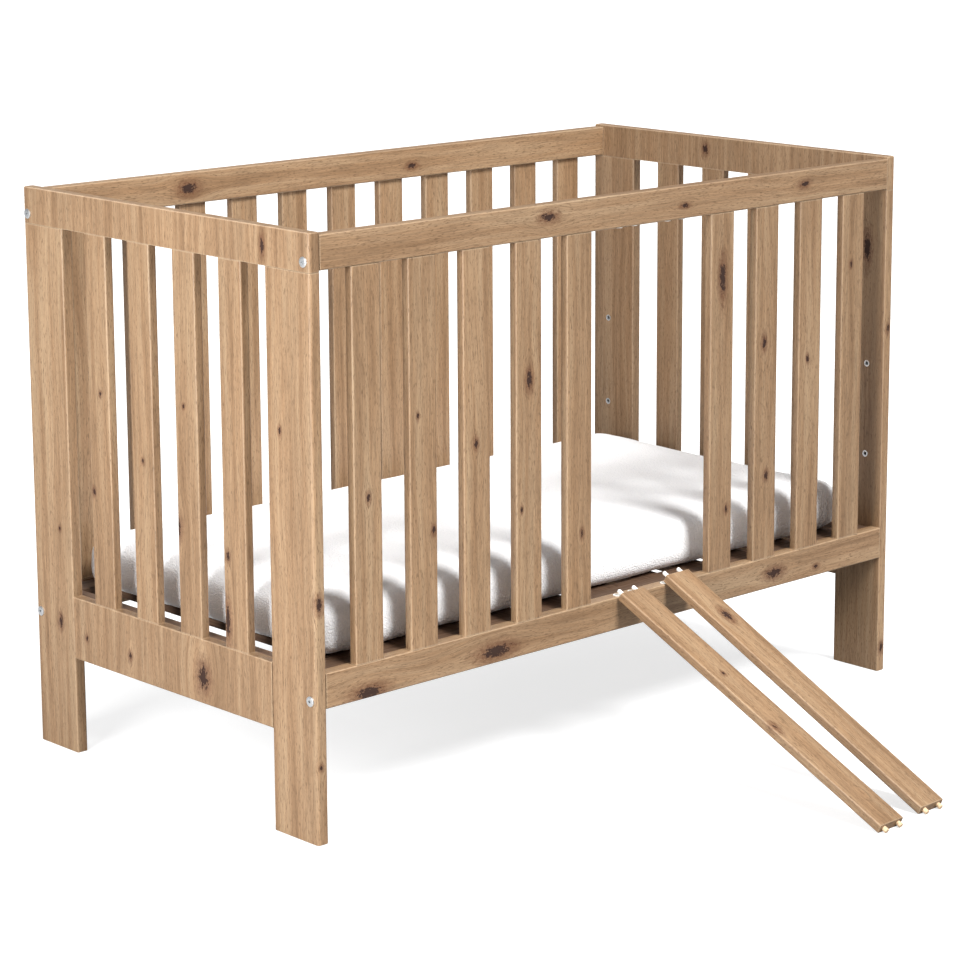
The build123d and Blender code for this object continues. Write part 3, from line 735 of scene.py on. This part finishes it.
    def build(self, material: bpy.types.Material) -> None:
        """Makes the set of bolts in a material."""
        low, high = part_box(self.node)
        reach = self.head if self.facing > 0 else self.length
        piece = new_object(f"{self.node}_made", bpy.data.meshes.new(self.node))
        group = bpy.data.node_groups.get("cap_bolts") or self.tree()
        values = {
            "Half X": high.x - reach,
            "Half Y": high.y - self.head_radius,
            "Low Z": low.z + self.head_radius,
            "High Z": high.z - self.head_radius,
            "Rows": self.rows,
            "Facing": self.facing,
            "Length": self.length,
            "Shank Radius": self.shank,
            "Head Radius": self.head_radius,
            "Head Height": self.head,
            "Crown": self.crown,
            "Socket Radius": self.socket_radius,
            "Socket Depth": self.socket_depth,
            "Seed": self.seed,
            "Material": material,
        }
        modifier = piece.modifiers.new("cap_bolts", "NODES")
        modifier.node_group = group
        for item in group.interface.items_tree:
            if item.in_out == "INPUT":
                modifier[item.identifier] = values[item.name]
        make_plain(piece)
        piece.data.shade_smooth()
        piece.data.set_sharp_from_angle(angle=math.radians(32))
        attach(piece, "cot_frame")
        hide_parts(self.node)
        LOG.info("built %s with %d faces", self.node, len(piece.data.polygons))


@dataclass(frozen=True)
class PinSprings:
    """The coil springs behind the spring pins, parted into one spring for each pin."""

    slats: tuple[int, ...] = (6, 7)
    hands: tuple[str, ...] = ("left", "right")
    weld: float = 0.000001

    def coil(self, slat: int, hand: str, frame: dict[str, Any]) -> bpy.types.Object:
        """Makes the spring of a slat's left or right pin from its half of the CAD node."""
        name = f"removable_slat_{slat}"
        source = f"{name}_springs"
        joint = press_joint(frame, name, hand)
        inwards = Vector(joint["axis"]).normalized()
        pins = {h: sum(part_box(f"{name}_{h}_spring_pin"), Vector()) / 2 for h in self.hands}
        mesh = bmesh.new()
        mesh.from_mesh(frame["nodes"][source].data)
        bmesh.ops.remove_doubles(mesh, verts=mesh.verts, dist=self.weld)

        def nearest(point: Vector) -> str:
            """Which pin's line a point lies nearest."""
            return min(pins, key=lambda h: (point - pins[h]).cross(inwards).length)

        others = [v for v in mesh.verts if nearest(v.co) != hand]
        bmesh.ops.delete(mesh, geom=others, context="VERTS")
        data = bpy.data.meshes.new(f"{source}_{hand}")
        mesh.to_mesh(data)
        mesh.free()
        piece = new_object(f"{name}_{hand}_coil", data)
        data.materials.clear()
        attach(piece, name)
        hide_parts(source)
        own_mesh(piece)
        return piece

    def build(self, frame: dict[str, Any], material: bpy.types.Material) -> None:
        """Makes every spring in a material."""
        for slat in self.slats:
            for hand in self.hands:
                dress(self.coil(slat, hand, frame), material)
        LOG.info("parted %d springs", len(self.slats) * len(self.hands))


@dataclass
class Fittings:
    """The metal, plastic and plain wood pieces: bolts, nuts, inserts, bushes, pins, dowels and the base."""

    zinc: PlainFinish = PlainFinish(
        # Bright zinc plating over turned steel: silvery, a little cloudy, softly mirror-like.
        "bright_zinc_plated_steel", "eceeef", "cfd1d4", 0.38, metallic=1.0, grit_mm=0.9, bump=0.05
    )
    wire: PlainFinish = PlainFinish(
        # Drawn spring steel wire: darker than zinc, with fine drawing marks.
        "drawn_spring_steel", "a6a9ad", "8b8e93", 0.34, metallic=1.0, grit_mm=0.5, bump=0.05
    )
    nylon: PlainFinish = PlainFinish(
        # Moulded white nylon: satin, slightly uneven gloss.
        "moulded_white_nylon", "f3f2ee", "e6e4de", 0.38, ior=1.53, grit_mm=1.4, bump=0.04
    )
    beech: PlainFinish = PlainFinish(
        # Turned beech rod: pale, with short fine flecks.
        "turned_beech", "dcc2a2", "c9a981", 0.6, grit_mm=1.0, stretch=(1.0, 3.0, 2.0), bump=0.15
    )
    board: PlainFinish = PlainFinish(
        # Plain pine of the base: sanded, unvarnished, long soft grain; its colour is darkened to a deep brown
        # as painted shade, for the shadow the base lies in under the mattress.
        "painted_shade_pine", "5e4531", "453021", 0.62, grit_mm=5.0, stretch=(1.0, 14.0, 1.0), bump=0.12
    )
    long_board: PlainFinish = PlainFinish(
        # The same pine, darkened by the same painted shade, with its grain along the cot.
        "painted_shade_pine_lengthwise", "5e4531", "453021", 0.62, grit_mm=5.0, stretch=(14.0, 1.0, 1.0), bump=0.12
    )
    springs: PinSprings = PinSprings()
    bolts: tuple[CapBolts, ...] = (
        CapBolts("corner_bolts", 0.060, 0.0075, 0.0026),
        CapBolts("base_bolts", 0.030, 0.0065, 0.0030, facing=-1.0, rows=1),
    )

    def dress(self, frame: dict[str, Any]) -> None:
        """Gives every fitting its material."""
        by_slot = {
            "zinc_steel": self.zinc.material(),
            "spring_steel": self.wire.material(),
            "white_plastic": self.nylon.material(),
            "beech": self.beech.material(),
            "base_wood": self.board.material(),
        }
        count = 0
        for part in frame["record"]["subparts"]:
            if part["material_slot"] in by_slot:
                dress(frame["nodes"][part["node"]], by_slot[part["material_slot"]])
                count += 1
        dress(frame["nodes"]["base_side_bars"], self.long_board.material())
        for bolts in self.bolts:
            bolts.build(by_slot["zinc_steel"])
        self.springs.build(frame, by_slot["spring_steel"])
        LOG.info("dressed %d fittings", count)


@dataclass
class FittedMattress:
    """A foam mattress in a fitted terry sheet, swollen a little by its filling.

    Attributes:
        inset: how far inside the CAD block the cover starts, in metres.
        corner, edge: the radii of the upright corners and of the rims.
        voxel: the size of the cover's faces before they are halved.
        pressure: how hard the filling pushes.
        frames: how many steps the simulation takes.
        cap: how far a point may swell.
        pucker: how deep the pulls in the cover are.
        seed: picks the pulls.
        waves: how close the slow pulls lie along X, Y and Z.
        gathers: how many gathers would go round a full turn.
        corner_middle: how far inside the block the gathers' middle lies.
        lowest: how far above the base the cover stays.
    """

    cloth: TerryCloth = field(default_factory=TerryCloth)
    inset: float = 0.003
    corner: float = 0.034
    edge: float = 0.026
    voxel: float = 0.009
    pressure: float = 4.0
    frames: int = 20
    cap: float = 0.007
    pucker: float = 0.0016
    seed: float = 3.7
    waves: tuple[float, float, float] = (9.0, 9.0, 14.0)
    gathers: float = 14.0
    corner_middle: float = 0.05
    lowest: float = 0.0002

    def block(self) -> bpy.types.Object:
        """Builds the closed, evenly meshed block that the cloth starts from."""

        def rise(edge: bmesh.types.BMEdge) -> float:
            """How far one end of an edge is above the other."""
            return abs(edge.verts[0].co.z - edge.verts[1].co.z)

        low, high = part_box("mattress")
        low, high = low + Vector((self.inset,) * 3), high - Vector((self.inset,) * 3)
        mesh = bmesh.new()
        bmesh.ops.create_cube(mesh, size=1.0)
        for vertex in mesh.verts:
            vertex.co = Vector((low[i] if vertex.co[i] < 0 else high[i]) for i in range(3))
        upright = [e for e in mesh.edges if rise(e) > 0.01]
        bmesh.ops.bevel(mesh, geom=upright, offset=self.corner, segments=8, profile=0.5, affect="EDGES")
        level = [e for e in mesh.edges if rise(e) < 1e-6]
        rims = [e for e in level if len({abs(f.normal.z) > 0.5 for f in e.link_faces}) == 2]
        bmesh.ops.bevel(mesh, geom=rims, offset=self.edge, segments=6, profile=0.55, affect="EDGES")
        data = bpy.data.meshes.new("mattress_block")
        mesh.to_mesh(data)
        mesh.free()
        made = new_object("fitted_mattress", data)
        remesh = made.modifiers.new("even", "REMESH")
        remesh.mode = "VOXEL"
        remesh.voxel_size = self.voxel
        make_plain(made)
        return made

    def swell(self, piece: bpy.types.Object) -> None:
        """Blows the cover up a little by a cloth simulation, with a cap on how far a point may go."""
        rest = [v.co.copy() for v in piece.data.vertices]
        cloth = piece.modifiers.new("cover", "CLOTH")
        cloth.settings.quality = 4
        cloth.settings.mass = 0.3
        cloth.settings.tension_stiffness = 12
        cloth.settings.compression_stiffness = 12
        cloth.settings.bending_stiffness = 0.6
        cloth.settings.use_pressure = True
        cloth.settings.uniform_pressure_force = self.pressure
        cloth.settings.effector_weights.gravity = 0
        cloth.collision_settings.use_collision = False
        scene = bpy.context.scene
        for number in range(1, self.frames + 1):
            scene.frame_set(number)
        make_plain(piece)
        scene.frame_set(1)
        for vertex, start in zip(piece.data.vertices, rest):
            move = vertex.co - start
            if move.length > self.cap:
                vertex.co = start + move * (self.cap / move.length)

    def pull(self, piece: bpy.types.Object) -> None:
        """Adds the shallow pulls that a fitted sheet has round its sides and corners."""
        low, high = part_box("mattress")
        middle = (low + high) / 2
        half = (high - low) / 2
        for vertex in piece.data.vertices:
            spot = vertex.co.copy()
            share = Vector((spot[i] - middle[i]) / half[i] for i in range(3))
            side = max(abs(share.x), abs(share.y))
            corner = min(1.0, max(0.0, (abs(share.x) + abs(share.y) - 1.55) / 0.4))
            x, y = (spot[i] - math.copysign(half[i] - self.corner_middle, spot[i]) for i in range(2))
            gather = math.sin(math.atan2(y, x) * self.gathers) * corner * max(0.0, 0.6 - share.z * 0.5)
            wave = Vector(spot[i] * self.waves[i] for i in range(3))
            wave.z += self.seed
            amount = self.pucker * (noise.noise(wave) * (0.5 + side) + gather * 1.2)
            vertex.co += vertex.normal * amount
            vertex.co.z = max(vertex.co.z, low.z + self.lowest)

    def build(self) -> None:
        """Makes the mattress, which stands for its plain CAD block."""
        piece = self.block()
        self.swell(piece)
        self.pull(piece)
        subdivide = piece.modifiers.new("smooth", "SUBSURF")
        subdivide.levels = subdivide.render_levels = 1
        make_plain(piece)
        piece.data.shade_smooth()
        piece.data.materials.clear()
        piece.data.materials.append(self.cloth.material())
        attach(piece, "mattress")
        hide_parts("mattress")
        LOG.info("built the mattress with %d faces", len(piece.data.polygons))


@dataclass
class Studio:
    """A pale floor, a white surround, two far lights and a near lamp at the left, and the camera.

    Attributes:
        floor_size, floor_low: the floor's side, and how far below zero it lies, in metres.
        floor_shown, floor_glow: the floor's colour and glow as the camera sees it.
        floor_lit: its colour as the light sees it.
        world_shown: how bright the surround shows.
        world_colour, world_light: its colour and strength as a light.
        suns: each far light's name, azimuth, elevation, strength and width, with the angles in degrees.
        lamp: the near lamp's middle.
        lamp_size, lamp_power: its side in metres and its power in watts.
        aim: the point that camera and lamp face.
        azimuth, elevation, distance: where the camera is, seen from that point.
        lens: its focal length in millimetres.
        shift: how far its picture is moved, in picture widths.
    """

    floor_size: float = 120.0
    floor_low: float = 0.0002
    floor_shown: str = "b2b2b2"
    floor_glow: float = 0.73
    floor_lit: str = "a0a0a0"
    world_shown: float = 1.05
    world_colour: str = "f4f8ff"
    world_light: float = 0.20
    suns: tuple[tuple[str, float, float, float, float], ...] = (
        ("softbox_above_front", 2.0, 52.0, 4.9, 22.0),
        ("softbox_behind", 178.0, 38.0, 1.0, 50.0),
    )
    lamp: tuple[float, float, float] = (-3.2, -0.8, 1.3)
    lamp_size: float = 1.3
    lamp_power: float = 138.0
    aim: tuple[float, float, float] = (0.0, -0.18996, 0.58042)
    azimuth: float = -44.18
    elevation: float = 11.05
    distance: float = 4.637
    lens: float = 110.77
    shift: tuple[float, float] = (-0.0772, -0.1189)

    def floor(self) -> None:
        """Lays the floor, which glows a little so that it stays pale to the horizon."""
        half = self.floor_size / 2
        data = bpy.data.meshes.new("floor")
        corners = ((-half, -half), (half, -half), (half, half), (-half, half))
        data.from_pydata([(x, y, -self.floor_low) for x, y in corners], [], [(0, 1, 2, 3)])
        paint, tree = new_material("matt_white_floor")
        pale = add(tree, "ShaderNodeBsdfDiffuse", {"Color": linear(self.floor_shown)})
        glow = add(tree, "ShaderNodeEmission", {"Color": linear("ffffff"), "Strength": self.floor_glow})
        shown = add(tree, "ShaderNodeAddShader", (pale, glow))
        matt = add(tree, "ShaderNodeBsdfDiffuse", {"Color": linear(self.floor_lit)})
        seen = add(tree, "ShaderNodeLightPath").outputs["Is Camera Ray"]
        both = add(tree, "ShaderNodeMixShader", (seen, matt, shown))
        add(tree, "ShaderNodeOutputMaterial", {"Surface": both})
        data.materials.append(paint)
        new_object("studio_floor", data)

    def world(self) -> None:
        """Sets a white surround that lights the cot more weakly than it shows."""
        world = bpy.data.worlds.new("studio_white")
        bpy.context.scene.world = world
        world.use_nodes = True
        tree = world.node_tree
        tree.nodes.clear()
        shown = {"Color": linear("ffffff"), "Strength": self.world_shown}
        light = {"Color": linear(self.world_colour), "Strength": self.world_light}
        both = (add(tree, "ShaderNodeBackground", light), add(tree, "ShaderNodeBackground", shown))
        seen = add(tree, "ShaderNodeLightPath").outputs["Is Camera Ray"]
        mixed = add(tree, "ShaderNodeMixShader", (seen, *both))
        add(tree, "ShaderNodeOutputWorld", {"Surface": mixed})

    @staticmethod
    def sun(name: str, azimuth: float, elevation: float, strength: float, width: float) -> None:
        """Adds a far white light, which is softer the wider it looks from the cot."""
        data = bpy.data.lights.new(name, "SUN")
        data.energy = strength
        data.angle = math.radians(width)
        made = new_object(name, data)
        made.rotation_mode = "QUATERNION"
        made.rotation_quaternion = direction(azimuth, elevation).to_track_quat("Z", "Y")

    def near_lamp(self) -> None:
        """Adds a square lamp at the left that faces the cot."""
        data = bpy.data.lights.new("softbox_left", "AREA")
        data.shape = "SQUARE"
        data.size = self.lamp_size
        data.energy = self.lamp_power
        made = new_object("softbox_left", data)
        made.location = self.lamp
        made.rotation_mode = "QUATERNION"
        made.rotation_quaternion = (Vector(self.lamp) - Vector(self.aim)).to_track_quat("Z", "Y")

    def camera(self) -> None:
        """Sets up the camera."""
        data = bpy.data.cameras.new("camera")
        data.lens = self.lens
        data.sensor_width = 36.0
        data.shift_x, data.shift_y = self.shift
        data.clip_end = 300.0
        made = new_object("camera", data)
        back = direction(self.azimuth, self.elevation)
        made.rotation_mode = "QUATERNION"
        made.location = Vector(self.aim) + back * self.distance
        made.rotation_quaternion = (-back).to_track_quat("-Z", "Y")
        bpy.context.scene.camera = made

    def build(self) -> None:
        """Sets up floor, light and camera."""
        self.camera()
        self.floor()
        self.world()
        for sun in self.suns:
            self.sun(*sun)
        self.near_lamp()
        bpy.context.scene.view_settings.view_transform = "Standard"
        LOG.info("set up the studio")


def main() -> None:
    """Builds the looks in order and reports each sub-assembly."""
    logging.basicConfig(level=logging.INFO, format="%(name)s: %(message)s")
    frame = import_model()
    Studio().build()
    Woodwork().dress(frame)
    Fittings().dress(frame)
    FittedMattress().build()


if __name__ == "__main__":
    main()
